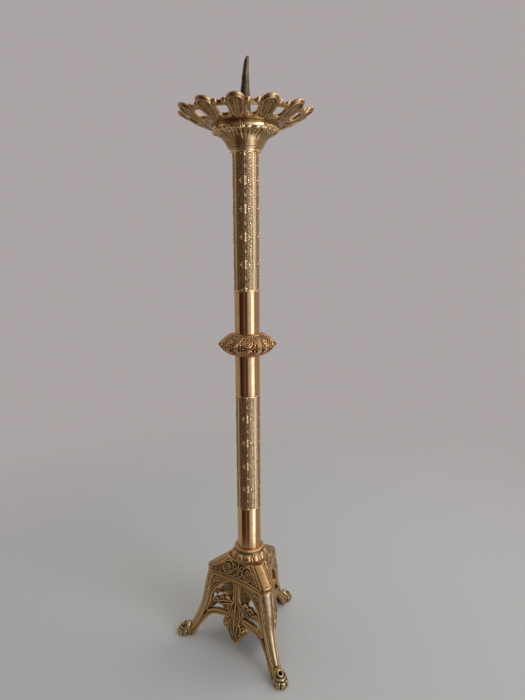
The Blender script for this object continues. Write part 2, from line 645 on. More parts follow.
# ------------------------------------------------------------ neck ring, seat
P, Q, D = lathe(smooth_chain([(16.4, 621.7), (17.3, 622.2), (17.6, 622.9), (17.3, 623.5), (16.7, 623.9), (17.4, 624.3), (17.9, 624.8), (17.7, 625.3), (17.2, ZN1)], 4)
                + [(4.6, ZN1), (4.6, 621.7)], 200, None, spacing=0.4, bevel=0.1)
make("neck_moulding", P, Q, M_BAND, "stand", ["neck_ring"])

P, Q, D = lathe([(36.5, ZC1), (36.8, 645.2), (36.8, 647.4), (36.0, 650.0), (35.8, ZS1), (9.38, ZS1), (9.38, 646.3), (6.58, 646.3), (6.58, ZC1)],
                240, None, spacing=0.8, bevel=0.15)
make("seat_band", P, Q, M_BAND, "stand", ["seat_ring"])

# ------------------------------------------------------------------- capital


def leaf_tip():
    """Small curled leaf tip standing against the band, pointing along +X."""
    h = 0.3
    xs, ys, zs = np.arange(35.2, 38.6, h), np.arange(-5.0, 5.01, h), np.arange(641.4, 650.4, h)
    X, Y, Z = np.meshgrid(xs, ys, zs, indexing="ij")
    w = np.interp(Z, [641.8, 643.6, 646.0, 648.2, 649.6], [3.6, 3.5, 2.7, 1.7, 0.4])
    rr = np.hypot(X, Y)
    mid = np.interp(Z, [641.8, 644.0, 647.0, 649.0], [36.0, 36.6, 36.85, 36.75])
    th = 0.70 + 0.22 * np.cos(Y * 2 * PI / 2.3)
    F = smax(abs(rr - mid) - th, abs(Y) - w, 0.6)
    F = smax(F, Z - 649.6, 0.5)
    F = smax(F, 641.9 - Z, 0.3)
    G, Q = nets(F)
    P = np.stack([xs[0] + G[:, 0] * h, ys[0] + G[:, 1] * h, zs[0] + G[:, 2] * h], 1)
    return relax(P, Q, 1, 0.5), Q


def capital():
    outer = smooth_chain([(19.2, ZN1), (19.9, 627.0), (20.7, 628.6), (22.6, 632.0), (25.0, 635.4), (28.4, 638.8), (32.6, 641.2), (35.6, 643.1), (36.6, 644.9)], 6)
    inner = [(33.2, ZC1), (27.5, 641.6), (21.5, 638.0), (17.0, 634.2), (14.5, 630.9), (12.5, 629.3), (4.6, 629.3), (4.6, ZN1)]
    arc = [0.0]
    for (r0, z0), (r1, z1) in zip(outer, outer[1:]):
        arc.append(arc[-1] + math.hypot(r1 - r0, z1 - z0))
    zs, total = [z for _, z in outer], arc[-1]

    def disp(TH, R, Z, NR, NZ):
        on = (NR > 0.02) & (NZ < 0.4) & (R > 18.0)
        y = np.interp(Z, zs, arc)
        n = 8
        sec = (TH - math.radians(-92.7)) / (2 * PI / n)
        x = (sec - np.round(sec)) * (2 * PI / n) * R               # from the middle of a leaf
        sec2 = sec + 0.5
        x2 = (sec2 - np.round(sec2)) * (2 * PI / n) * R            # from the gap between two leaves
        half = 0.5 * (2 * PI / n) * R
        t = y / total
        # each leaf swells towards its tip and has a rib and fine veins that run down the bell
        lf = np.sqrt(np.clip(1 - (x / (half * 0.98)) ** 2, 0, 1))
        h = 0.75 * lf * step(t, 0.4, 0.85)
        h += bead(x, 0.9, 0.3) * step(t, 0.2, 0.5)
        fl = np.cos(2 * PI * (abs(x) / np.maximum(half, 1)) * 2.6)
        h += (0.05 + 0.13 * step(t, 0.4, 0.7)) * fl * step(t, 0.25, 0.5) * (1 - step(t, 0.84, 0.92))
        # round eyes between and in the leaves, every one with a drop
        for xx, yy, k in ((x2, total - 7.4, 1.0), (abs(x) - half * 0.5, total - 6.0, 0.75)):
            eye = np.hypot(xx / 1.5, (y - yy) / 1.9)
            h -= 0.9 * k * step(-eye, -1.25, -0.7)
            h += 1.25 * k * np.sqrt(np.clip(1 - (xx / 1.0) ** 2 - ((y - yy + 0.2) / 1.4) ** 2, 0, 1))
        # curled tips
        cx = np.interp(y, [total - 6, total], [3.2, 6.4])
        h += 1.2 * np.sqrt(np.clip(1 - (x / cx) ** 2 - ((y - (total - 2.2)) / 3.6) ** 2, 0, 1))
        h += 0.9 * np.sqrt(np.clip(1 - ((abs(x) - half * 0.62) / 3.6) ** 2 - ((y - (total - 2.6)) / 2.5) ** 2, 0, 1))
        h -= 0.7 * np.exp(-(x2 / 0.55) ** 2) * step(y, total - 6, total - 4)
        h += groove(y - 1.1, 0.45, 0.3)
        fade = step(total - y, 0.0, 0.8)
        return np.where(on, (h - 0.6 * step(t, 0.3, 0.7)) * fade, 0.0)

    P, Q, D = lathe(outer + inner, 560, disp, spacing=0.42, bevel=0.2)
    make("capital_leaves", P, Q, M_BELL, "stand", ["capital"], gain=(3.4, 2.2), extra=np.clip((-D - 0.7) / 0.6, 0, 1))
    # the large leaf tips lap over the band above
    P0, Q0 = leaf_tip()
    P = np.concatenate([turned(P0, -92.7 + 45.0 * k) for k in range(8)])
    Q = np.concatenate([Q0 + k * len(P0) for k in range(8)])
    make("capital_leaf_tips", P, Q, M_CAST, "stand", (), cav=(2, 6), gain=(3.0, 2.0))


capital()

# -------------------------------------------------------------- lotus collar


def collar():
    outer = smooth_chain([(22.3, 123.6), (23.0, 125.4), (22.9, 128.2), (21.8, 131.2), (19.8, 133.8), (18.2, 135.5)], 5)
    top = smooth_chain([(18.0, 136.3), (18.7, 137.1), (18.75, 138.4), (18.0, 139.4), (17.0, 139.8)], 4)
    loop = outer + top + [(15.05, 139.8), (15.05, 131.0), (4.6, 131.0), (4.6, 119.2), (9.9, 119.2), (9.9, 123.6)]

    def disp(TH, R, Z, NR, NZ):
        on = (R > 16.6) & (Z > 123.8)
        n = 12
        sec = (TH - math.radians(-60)) / (2 * PI / n)
        x = (sec - np.round(sec)) * (2 * PI / n) * 21.5
        x2 = (sec + 0.5 - np.round(sec + 0.5)) * (2 * PI / n) * 21.5
        y = Z - 123.6
        egg = np.sqrt(np.clip(1 - (x / 4.1) ** 2 - ((y - 5.4) / 5.6) ** 2, 0, 1))
        dart = np.sqrt(np.clip(1 - (x2 / 1.15) ** 2 - ((y - 4.2) / 4.2) ** 2, 0, 1))
        ringg = bead(np.hypot(x / 4.9, (y - 5.4) / 6.4) * 5.4 - 5.4, 0.6, 0.4)
        h = -1.25 + 1.7 * egg ** 0.8
        h = np.maximum(h, -1.25 + 0.9 * dart)
        h = np.maximum(h, -1.0 + ringg)
        h = np.where(Z > 135.9, 0.0, h * (1 - step(Z, 134.6, 135.9)))
        h += np.where(Z > 136.8, 0.12 * np.cos(TH * 60), 0.0)
        return np.where(on, h * step(y, 0.2, 1.2), 0.0)

    P, Q, D = lathe(loop, 400, disp, spacing=0.4, bevel=0.2)
    make("collar_lotus", P, Q, M_CAST, "stand", ["lotus_collar"], gain=(4.0, 2.6), extra=np.clip(1.3 - (np.hypot(P[:, 0], P[:, 1]) - 15.0) / 0.9, 0, 1) * (P[:, 2] > 136))


collar()

# ------------------------------------------------------------------- pricket


def pricket():
    rows = [(639.0, 0.0, 6.5), (647.4, 0.0, 6.5), (647.5, 0.0, 9.2), (650.2, 0.0, 9.3), (650.4, 0.0, 6.95), (652.6, 0.0, 6.8), (664.0, 0.0, 6.35), (674.0, 0.05, 5.8),
            (683.0, 0.15, 5.2), (691.0, 0.35, 4.6), (701.4, 0.8, 3.9), (711.5, 1.5, 3.05), (716.6, 2.2, 2.5), (719.0, 2.85, 1.9), (720.4, 3.2, 1.2),
            (720.95, 3.3, 0.55), (721.0, 3.3, 0.02)]
    inner = [(650.0, 0.02), (649.9, 4.05), (639.0, 4.05)]
    nth = 96
    zz, cx, rr = [], [], []
    for (z0, c0, r0), (z1, c1, r1) in zip(rows, rows[1:]):
        k = max(1, int(math.hypot(z1 - z0, r1 - r0) / 0.8))
        for i in range(k):
            t = i / k
            zz.append(z0 + (z1 - z0) * t)
            cx.append(c0 + (c1 - c0) * t)
            rr.append(r0 + (r1 - r0) * t)
    zz.append(721.0), cx.append(3.3), rr.append(0.02)
    n_out = len(zz)
    for z, r in inner:
        zz.append(z), cx.append(0.0), rr.append(r)
    rng = np.random.default_rng(7)
    th = np.arange(nth) * 2 * PI / nth
    zz, cx, rr = np.array(zz), np.array(cx), np.array(rr)
    wob = np.zeros((len(zz), nth))
    for _ in range(14):
        a, b, ph = rng.integers(1, 6), rng.uniform(0.1, 0.9), rng.uniform(0, 6.28)
        wob += rng.uniform(0.01, 0.035) * np.cos(a * th[None, :] + b * zz[:, None] + ph)
    use = ((zz > 655) & (np.arange(len(zz)) < n_out - 3))[:, None]
    R = rr[:, None] + np.where(use, wob - 0.06, 0)
    P = np.stack([cx[:, None] + R * np.cos(th), R * np.sin(th), zz[:, None] + 0 * R], -1)
    # body: outer skin up, then down the bore; joined into one closed ring
    U = len(zz)
    P = P.reshape(-1, 3)
    u, t = np.meshgrid(np.arange(U), np.arange(nth), indexing="ij")
    keep = u != n_out - 1                      # the tip and the blind end of the bore are closed by tiny caps
    u2, t2 = (u + 1) % U, (t + 1) % nth
    Q = np.stack([u * nth + t, u * nth + t2, u2 * nth + t2, u2 * nth + t], -1)[keep].reshape(-1, 4)
    caps = []
    for row in (n_out - 1, n_out):
        b = row * nth
        for i in range(nth // 2 - 1):
            q = [b + i, b + i + 1, b + nth - 2 - i, b + nth - 1 - i]
            caps.append(q if row == n_out - 1 else q[::-1])
    Q = np.concatenate([Q, np.array(caps)])
    make("pricket_spike", P, Q, M_SPIKE, "pricket", ["pricket"], cav=(2, 5), gain=(1.0, 0.5))


pricket()

# ------------------------------------------------------------------ drip pan
PAN_UNDER = [(7.4, 650.3), (37.0, 650.3), (42.0, 650.75), (48.0, 651.6), (54.0, 653.8), (60.0, 657.0), (66.0, 660.8), (71.0, 663.6), (76.0, 665.7)]


def pan():
    rs = np.arange(4.6, 78.3, 0.46)
    nth = 768
    th = np.arange(nth) * 2 * PI / nth
    ws = np.arange(-3.2, 4.3, 0.42)
    R, T = np.meshgrid(rs, th, indexing="ij")
    ch = smooth_chain(PAN_UNDER, 6)
    zu = np.interp(rs, [p[0] for p in ch], [p[1] for p in ch])
    slope = np.gradient(zu, rs)
    cosn = 1 / np.sqrt(1 + slope ** 2)
    n = 12
    sec = T / (2 * PI / n)
    a = (sec - np.round(sec)) * (2 * PI / n)
    tx, ty = R * np.sin(a), R * np.cos(a)                      # local to the nearest tongue
    a2 = (sec + 0.5 - np.round(sec + 0.5)) * (2 * PI / n)
    gx, gy = R * np.sin(a2), R * np.cos(a2)                    # local to the nearest gap
    hw = 9.4
    tong = np.hypot(tx, ty - np.clip(ty, 40.0, 75.4 - hw)) - hw
    disc = R - 68.3
    bumps = np.hypot((abs(gx) - 5.2) / 1.15, gy - 66.2) - 2.3
    disc = R - 66.2
    out = smin(tong, disc, 1.6)
    out = smin(out, bumps, 0.6)
    # eyelet: rounded trapezoid
    ehw = np.interp(gy, [50.8, 54.6, 62.6], [4.1, 5.3, 6.2])
    ex, ey = abs(gx) - (ehw - 2.4), abs(gy - 56.7) - (5.9 - 2.4)
    eye = np.hypot(np.maximum(ex, 0), np.maximum(ey, 0)) + np.minimum(np.maximum(ex, ey), 0) - 2.4
    # relief of the under side
    taper = np.interp(ty, [38, 44, 50, 56, 62, 67], [1.2, 2.2, 4.2, 6.6, 8.4, 8.7])
    strap = np.where(ty < 75.4 - hw, abs(tx) - taper, tong + (hw - 8.7))
    h = 0.8 * step(-strap, -0.4, 0.5) * step(R, 41.5, 46)
    h += bead(strap + 1.2, 1.2, 0.6) * step(R, 43, 48)
    h += groove(tx, 0.6, 0.3) * step(R, 42, 47) * (1 - step(ty, 66.5, 70.5))
    h += bead(abs(tx) - 1.5, 1.0, 0.22) * step(R, 42, 47) * (1 - step(ty, 68, 71))
    h += groove(abs(tx) - 3.6, 0.8, 0.16) * step(R, 50, 56) * (1 - step(ty, 64, 69))
    h += bead(strap + 0.6, 0.9, 0.7) * step(ty, 64, 68)
    ringe = bead(eye - 1.3, 1.2, 1.2)
    cell = np.hypot(gx / 9.2, np.where(gy < 58, gy - 58, 0.0) / 12.0)
    h = np.maximum(h, ringe)
    h = np.maximum(h, bead((cell - 1.0) * 9.6, 0.9, 1.0) * (strap > -0.9) * (gy < 62))
    h -= 0.35 * step(-strap, 0.3, 1.2) * step(-(cell - 1.0) * 9.6, -1.0, 0.0) * 0.0
    # flutes from the seat to the gaps
    fl = np.cos(gx / np.maximum(R, 1) * 50.0 * 2 * PI / 4.4)
    h += 0.14 * fl * step(R, 40, 43) * (1 - step(R, 45, 47)) * step(strap, 0.2, 1.2)
    rimbead = bead(out + 1.5, 1.5, 0.9)
    h = np.maximum(h, rimbead * step(R, 60, 64))
    knob = bead(np.hypot(abs(gx) - 5.2, gy - 65.9), 2.2, 1.2)
    h = np.maximum(h, knob)
    h = np.maximum(h, bead(np.hypot(gx / 1.1, gy - 65.4) - 2.3, 0.7, 0.6) * (gy < 66.4))
    up = 0.35 * step(-strap, -0.4, 0.6) * step(R, 44, 50) + 0.3 * bead(eye - 1.3, 1.2, 1.0) + bead(out + 1.4, 1.4, 0.6) * step(R, 60, 64)
    up += groove(abs(tx) - 2.2, 0.6, 0.3) * step(R, 46, 50)
    up = np.where(R < 44, 0.04 * np.cos(R * 2 * PI / 1.6), up)
    c3 = cosn[:, None, None]
    W = ws[None, None, :] * c3
    lowf = (-h[:, :, None]) - W
    upf = W - (1.75 + up[:, :, None])
    F = smax(lowf, upf, 0.25)
    F = smax(F, out[:, :, None], 0.9)
    F = smax(F, -eye[:, :, None], 0.6)
    F = smax(F, 7.4 - R[:, :, None], 0.2)
    # rounded lip round the whole edge
    lip = np.sqrt((out[:, :, None] + 1.35) ** 2 + (W - 0.85) ** 2) - 1.45
    F = smin(F, np.where(R[:, :, None] > 58, lip, 9.0), 0.5)
    # nothing below the seat plane inside the band
    F = np.where((R[:, :, None] < 39.5) & (W < 0.0), np.maximum(F, -W), F)
    G, Q = nets(F, wrap=True)
    r = 4.6 + G[:, 0] * 0.46
    t = G[:, 1] * 2 * PI / nth
    w = ws[0] + G[:, 2] * 0.42
    z = np.interp(r, rs, zu) + w
    P = np.stack([r * np.cos(t), r * np.sin(t), z], 1)
    P = relax(P, Q, 1, 0.4)
    P, Q = drop_crumbs(P, Q)
    P[:, 2] = np.where(np.hypot(P[:, 0], P[:, 1]) < 38, np.maximum(P[:, 2], 650.32), P[:, 2])
    P[:, :2] *= 0.9988
    P = turned(P, -1.8)
    make("drip_pan_gallery", P, Q, M_PAN, "drip_pan", ["drip_pan"], cav=(3, 10), gain=(2.5, 2.1))


pan()

# ---------------------------------------------------------------------- legs
def leg_w(z):
    return 3.6 + 0.039 * z


LEG_OUTER = smooth_chain([(54.3, 100.4), (55.6, 95.0), (57.4, 88.9), (60.0, 75.7), (62.6, 60.7), (65.9, 48.9),
                          (71.2, 35.2), (76.3, 24.3), (81.6, 16.8), (87.0, 12.6), (91.0, 11.2)], 5)
LEG_INNER = smooth_chain([(81.5, -1.5), (79.0, 0.0), (76.2, 2.6), (72.4, 9.0), (67.6, 17.5), (62.3, 24.5), (57.6, 31.5), (54.2, 38.0),
                          (52.3, 46.0), (50.3, 57.0), (48.0, 70.0), (46.0, 84.0), (44.0, 100.4)], 4)
TOE = np.array([(-2.0, 90.2, 7.6), (0.0, 90.2, 8.3), (1.2, 90.2, 9.1), (3.0, 90.15, 9.35), (5.0, 90.1, 9.4), (8.0, 89.4, 9.0), (11.0, 87.9, 7.95), (14.0, 85.8, 6.3),
                (16.2, 84.2, 4.6), (17.6, 83.2, 3.2), (18.2, 82.8, 2.2), (22.0, 81.0, 0.6)])


def leg_rad(z):
    o = sorted(LEG_OUTER, key=lambda p: p[1])
    return np.interp(z, [p[1] for p in o], [p[0] for p in o])


def legs():
    h = 0.46
    xs, ys, zs = np.arange(29.0, 105.0, h), np.arange(-12.2, 12.3, h), np.arange(-1.4, 101.3, h)
    X, Zg = np.meshgrid(xs, zs, indexing="ij")
    prof = LEG_OUTER + [(91.0, -1.5)] + LEG_INNER
    p2 = poly_sd(X, Zg, prof)
    # signed distance to the outer curve alone: inside is negative
    d = seg_dist(X, Zg, LEG_OUTER)
    d_out = np.where(X > leg_rad(Zg), d, -d)
    d_out = np.where((Zg < 12.0) & (X > 80), np.where(p2 < 0, -d, d), d_out)
    y = ys[None, :, None]
    X3, Z3 = X[:, None, :], Zg[:, None, :]
    P2, D = p2[:, None, :], d_out[:, None, :]
    Wz = leg_w(Z3)
    ay = abs(y)
    # one broad rounded nose, then a fine seam, then the flank that meets the panels
    yn, dn = ay / (Wz - 0.3), np.clip((D + 3.6) / 3.6, 0, None)
    nose = np.maximum((np.sqrt(yn ** 2 + dn ** 2) - 1.0) * 3.4, P2)
    core = np.maximum(np.maximum(P2 + 0.05, ay - (Wz - 0.02)), D + 4.3)
    F = smin(nose, core, 0.25)
    F = smax(F, -(np.hypot(D + 3.7, ay - Wz) - 0.55), 0.2)
    F = np.maximum(F, Z3 - 100.0)
    # lug for the clamp plate
    lug = np.maximum(np.maximum(abs(X3 - 39.0) - 9.0, ay - 6.0), abs(Z3 - 92.5) - 4.5)
    F = np.minimum(F, lug)
    # toe: pierced sloping hood above a ring of rounded claws
    cz, rz = np.interp(Z3, TOE[:, 0], TOE[:, 1]), np.interp(Z3, TOE[:, 0], TOE[:, 2])
    tx = X3 - cz
    q = np.hypot(tx, y)
    phi = np.arctan2(y, X3 - 89.0)
    lobe = abs(np.cos(phi * 3.6))                                 # 1 on a claw, 0 between two
    lowz = step(-Z3, -10.2, -8.6) * step(X3, 83, 86)
    rad = rz - 1.5 * (1 - lobe) ** 1.6 * lowz
    rad = rad - 0.95 * np.exp(-((Z3 - 9.9 + 0.5 * lobe) / 0.75) ** 2) * step(X3, 82, 85)
    rad = rad + 0.35 * np.exp(-((Z3 - 12.0) / 0.9) ** 2) * step(X3, 84, 87)
    toe = (q - rad) * 0.85
    toe = smax(toe, Z3 - 18.2, 0.8)
    F = smin(F, toe, 0.7)
    rim = np.hypot(np.hypot(X3 - 89.0, y) - 3.3, (Z3 - np.interp(X3, [84, 86.4, 89.2, 93.0, 97.0], [17.4, 17.1, 15.4, 13.0, 10.0])) * 0.8) - 0.75
    F = smin(F, rim, 0.5)
    F = smax(F, 2.3 - np.hypot(X3 - 89.0, y), 0.35)
    F = smax(F, -Z3, 0.3)
    F = np.maximum(F, (X3 - 99.45))
    G, Q = nets(F)
    P = np.stack([xs[0] + G[:, 0] * h, ys[0] + G[:, 1] * h, zs[0] + G[:, 2] * h], 1)
    i0, k0 = np.round(G[:, 0]).astype(int), np.round(G[:, 2]).astype(int)
    ex = step(-d_out[i0, k0], 5.0, 9.0) * step(P[:, 2], 14, 22)
    ex = np.maximum(ex, 1.05 * step(-P[:, 2], -19, -13))
    P = relax(P, Q, 2, 0.5)
    P[:, 2] = np.maximum(P[:, 2], 0.0)
    for name, az in LEG_AZ.items():
        make("leg_casting_" + name, turned(P, az), Q, M_RIB, "stand", ["leg_" + name], cav=(3, 12), gain=(3.2, 1.8), extra=ex)


legs()

# -------------------------------------------------------------------- panels
MID_Z, MID_D = [8.0, 30.0, 49.0, 66.0, 85.0, 100.0], [35.2, 33.6, 32.2, 30.6, 29.0, 27.5]
ARCH_TOP = smooth_chain([(0.0, 97.2), (9.0, 95.6), (16.0, 92.0), (24.0, 86.2), (31.0, 78.5), (36.0, 69.5), (38.4, 60.0), (41.2, 51.5), (43.4, 45.0)], 5)
BAND_TOP = smooth_chain([(0.0, 52.6), (17.0, 52.2), (28.0, 51.0), (36.0, 48.6), (43.4, 45.0)], 5)
BAND_LOW = smooth_chain([(0.0, 46.2), (15.0, 45.7), (26.0, 44.0), (31.5, 42.6), (36.5, 40.2), (41.5, 36.0), (46.0, 30.6), (50.5, 24.2), (55.5, 16.6),
                         (59.5, 8.6), (61.8, 4.2), (64.0, 0.0)], 5)
FLEURON = [(8.0, 99.5), (6.5, 90.0), (6.0, 78.0), (7.5, 71.5), (10.0, 71.0), (13.0, 73.5), (17.0, 73.0), (20.0, 70.0), (23.0, 71.0), (26.5, 69.0),
           (29.0, 65.8), (32.5, 66.0), (36.5, 63.0), (37.6, 59.0), (35.0, 56.8), (31.5, 59.0), (28.0, 56.6), (24.0, 57.0), (20.0, 54.6), (15.0, 54.0), (11.0, 49.6), (11.8, 46.0),
           (15.5, 45.2), (19.2, 41.2), (20.4, 35.8), (18.4, 30.8), (14.2, 28.6), (12.2, 24.6), (9.2, 22.4), (7.6, 17.6), (4.0, 15.2), (0.0, 11.2)]


def panels():
    h = 0.5
    ss, zs, ws = np.arange(-72.0, 72.1, h), np.arange(0.0, 101.3, h), np.arange(-9.7, 6.4, h)
    S, Z = np.meshgrid(ss, zs, indexing="ij")
    A = abs(S)
    mid = np.interp(Z, MID_Z, MID_D)
    rho = leg_rad(Z) - 3.5
    wz = leg_w(Z)
    dc, sc = 0.5 * rho + SQ3 / 2 * wz, SQ3 / 2 * rho - 0.5 * wz
    d0 = mid + (dc - mid) * np.clip(A / sc, 0, 1.15) ** 2
    open_poly = ARCH_TOP + list(reversed(BAND_TOP))[1:]
    open_poly = open_poly + [(-s, z) for s, z in reversed(open_poly)]
    low_poly = [(-s, z) for s, z in reversed(BAND_LOW)] + BAND_LOW + [(66.5, -5.0), (-66.5, -5.0)]
    sd_open = poly_sd(S, Z, open_poly)
    sd_low = poly_sd(S, Z, low_poly)
    fl_r = smooth_chain(FLEURON, 4)
    fl_poly = fl_r + [(-s, z) for s, z in reversed(fl_r)]
    sd_f = poly_sd(S, Z, fl_poly)
    # distance from the leg's flank plane
    flank = (SQ3 / 2 * d0 - 0.5 * A)
    edge_leg = flank - wz

    # relief of the plate
    e = sd_open
    hh = np.zeros_like(S)
    upper = step(Z, 50, 56)
    hh = np.maximum(hh, bead(e - 1.5, 1.5, 1.5))
    hh = np.maximum(hh, bead(e - 4.6, 0.9, 1.0) * upper)
    spand = upper * step(e, 5.6, 6.4)
    for k, off in enumerate((7.4, 9.9, 12.4)):
        hh = np.maximum(hh, bead(e - off, 0.8, 0.9) * spand * step(A, 8 + 5 * k, 14 + 6 * k))
    hh = np.maximum(hh, bead(edge_leg - 1.2, 0.9, 1.2))
    hh = np.maximum(hh, bead(100.0 - Z - 1.2, 1.3, 1.3))
    # foliage in the spandrels
    fx, fz = A, Z
    for cx, cz, r0, a0, tn in ((27.5, 93.6, 3.4, 200, 1.4), (35.0, 91.0, 3.2, 20, -1.4), (19.0, 96.6, 2.0, 180, 1.2), (40.0, 84.0, 2.4, 90, 1.2)):
        hh = np.maximum(hh, bead(seg_dist(fx, fz, spiral(cx, cz, r0, 0.8, a0, tn, 20)), 0.75, 1.0))
    hh = np.maximum(hh, bead(seg_dist(fx, fz, smooth_chain([(14.0, 97.5), (22.0, 96.6), (30.0, 95.0), (37.0, 90.0), (41.5, 82.0), (43.0, 74.0)], 4)), 0.8, 1.05))
    # lower mouldings of the tie band and the legs of the arch
    hh = np.maximum(hh, bead(sd_low - 1.4, 1.4, 1.5))
    band = step(-Z, -53.5, -51.5)
    hh = np.maximum(hh, bead(sd_low - 4.0, 0.7, 1.0) * band)
    web = step(A, 38, 42) * step(-Z, -46, -40)
    hh = np.maximum(hh, bead(sd_low - 4.4, 0.75, 0.8) * web)
    ground = 0.16 * np.cos(2 * PI * (S * 0.8 + Z) / 2.1) * np.cos(2 * PI * (S * 0.8 - Z) / 2.3)
    hh = np.maximum(hh, 0.0) + np.where(hh < 0.05, ground, 0)

    plate2 = np.maximum(np.maximum(-sd_open, -sd_low), Z - 100.0)

    # fleuron: leaning leaf in front of the panel
    lean = (35.5 - 29.6) / (98.5 - 15.0)
    fd = 29.4 + (98.5 - Z) * lean
    inn = np.clip(-sd_f, 0, None)
    dome = 2.1 * (1 - np.exp(-inn / 2.0))
    r = np.zeros_like(S)
    stem = step(Z, 66, 72)
    r = np.maximum(r, (bead(A, 1.3, 0.8) + 0) * step(Z, 24, 30))
    r = np.maximum(r, bead(A - 3.6, 1.2, 0.7) * stem)
    fan = [[(2.2, 72), (5.0, 66), (7.5, 58), (8.5, 51), (6.5, 44), (4.5, 34), (2.5, 24)],
           [(4.0, 68), (9.0, 64), (11.5, 57), (10.5, 52)],
           [(4.5, 70), (11.0, 68.5), (18.0, 66.5), (25.0, 63.5), (31.0, 61.5), (36.0, 59.5)],
           [(8.0, 66), (14.0, 64.0), (20.0, 61.0), (24.5, 58.5)],
           [(11.0, 70.3), (15.0, 71.6), (18.5, 70.6)], [(20.0, 67.8), (23.5, 69.2), (26.5, 67.6)], [(28.0, 63.5), (31.5, 64.6), (35.0, 62.6)],
           [(6.0, 46), (9.0, 41.0), (9.6, 34.5), (8.6, 28.5)]]
    for ln in fan:
        r = np.maximum(r, bead(seg_dist(A, Z, smooth_chain(ln, 4)), 0.95, 1.0))
    for s0, z0, s1, z1 in ((12.0, 66.6, 15.5, 72.0), (17.0, 65.6, 20.8, 69.6), (22.0, 64.0, 26.5, 68.2), (27.0, 62.4, 32.0, 65.4),
                           (13.0, 63.4, 13.8, 55.0), (18.0, 61.6, 19.4, 55.6), (23.0, 60.0, 24.4, 57.6)):
        r = np.maximum(r, bead(seg_dist(A, Z, [(s0, z0), (s1, z1)]), 0.8, 0.8))
    boss_d = np.hypot(A - 14.6, Z - 36.6)
    r = np.maximum(r, 2.2 * np.sqrt(np.clip(1 - (boss_d / 2.4) ** 2, 0, 1)))
    r = np.maximum(r, bead(boss_d - 4.3, 0.95, 1.2))
    for zt in (26.0, 23.2, 20.4, 17.6):
        r = np.maximum(r, bead((Z - zt) + 0.75 * A, 0.55, 0.9) * (A < 7.5) * (A > 0.9))
    curl = np.hypot(A - 33.6, Z - 60.2)
    r = np.maximum(r, 1.3 * np.sqrt(np.clip(1 - (curl / 2.6) ** 2, 0, 1)))
    r = np.maximum(r, bead(inn - 0.9, 0.8, 0.45))
    bulge = 2.6 * np.exp(-((Z - 40.0) / 14.0) ** 2) * np.exp(-(A / 13.0) ** 2) + 1.2 * np.exp(-((A - 33) / 6.0) ** 2 - ((Z - 60) / 7.0) ** 2)
    ffront = fd - 2.3 + dome + 1.0 * r + bulge - d0
    fback = fd - 6.0 + 0.6 * bulge - d0

    norm = 0.96
    W = ws[None, None, :] * norm
    front = W - hh[:, :, None]
    back = (-5.0 - W)
    reveal = np.maximum(np.maximum(W + 4.0, -9.0 - W), (np.maximum(-sd_open, sd_open - 2.2) + np.where(Z < 55, 9.0, 0.0))[:, :, None])
    Fp = np.minimum(smax(front, back, 0.4), reveal)
    Fp = smax(Fp, plate2[:, :, None], 1.0)
    Ff = smax(W - ffront[:, :, None], fback[:, :, None] - W, 0.6)
    Ff = smax(Ff, sd_f[:, :, None], 1.2)
    Ff = np.maximum(Ff, (Z - 100.0)[:, :, None])
    F = smin(Fp, Ff, 0.5)
    # stop on the flanks of the two legs
    dd = d0[:, :, None] + ws[None, None, :]
    F = np.maximum(F, wz[:, :, None] - (SQ3 / 2 * dd - 0.5 * A[:, :, None]))
    F = np.maximum(F, (1.2 - Z)[:, :, None])
    G, Q = nets(F)
    gi, gj = G[:, 0], G[:, 1]
    i0, j0 = np.clip(gi.astype(int), 0, len(ss) - 2), np.clip(gj.astype(int), 0, len(zs) - 2)
    fi, fj = gi - i0, gj - j0
    base = (d0[i0, j0] * (1 - fi) * (1 - fj) + d0[i0 + 1, j0] * fi * (1 - fj) + d0[i0, j0 + 1] * (1 - fi) * fj + d0[i0 + 1, j0 + 1] * fi * fj)
    P = np.stack([base + ws[0] + G[:, 2] * h, ss[0] + gi * h, zs[0] + gj * h], 1)
    wv = ws[0] + G[:, 2] * h
    ex = step(-wv, 1.5, 3.6) * np.where(-sd_f[i0, j0] > -0.5, 0.35, 1.0)
    P = relax(P, Q, 1, 0.5)
    for name, az in PANEL_AZ.items():
        make("panel_casting_" + name, turned(P, az), Q, M_CAST, "stand", ["panel_" + name], cav=(3, 12), gain=(3.4, 2.0), extra=ex)


panels()

# -------------------------------------------------------------- shoulder cap
CAP_Z = [99.0, 100.0, 101.6, 102.2, 105.0, 107.5, 110.5, 115.0, 119.0, 123.6]
CAP_R = [52.6, 53.6, 54.6, 54.0, 54.2, 53.8, 50.0, 43.0, 36.6, 29.2]
CAP_D = [27.0, 27.4, 28.6, 28.2, 27.8, 27.2, 26.4, 25.2, 24.3, 22.8]


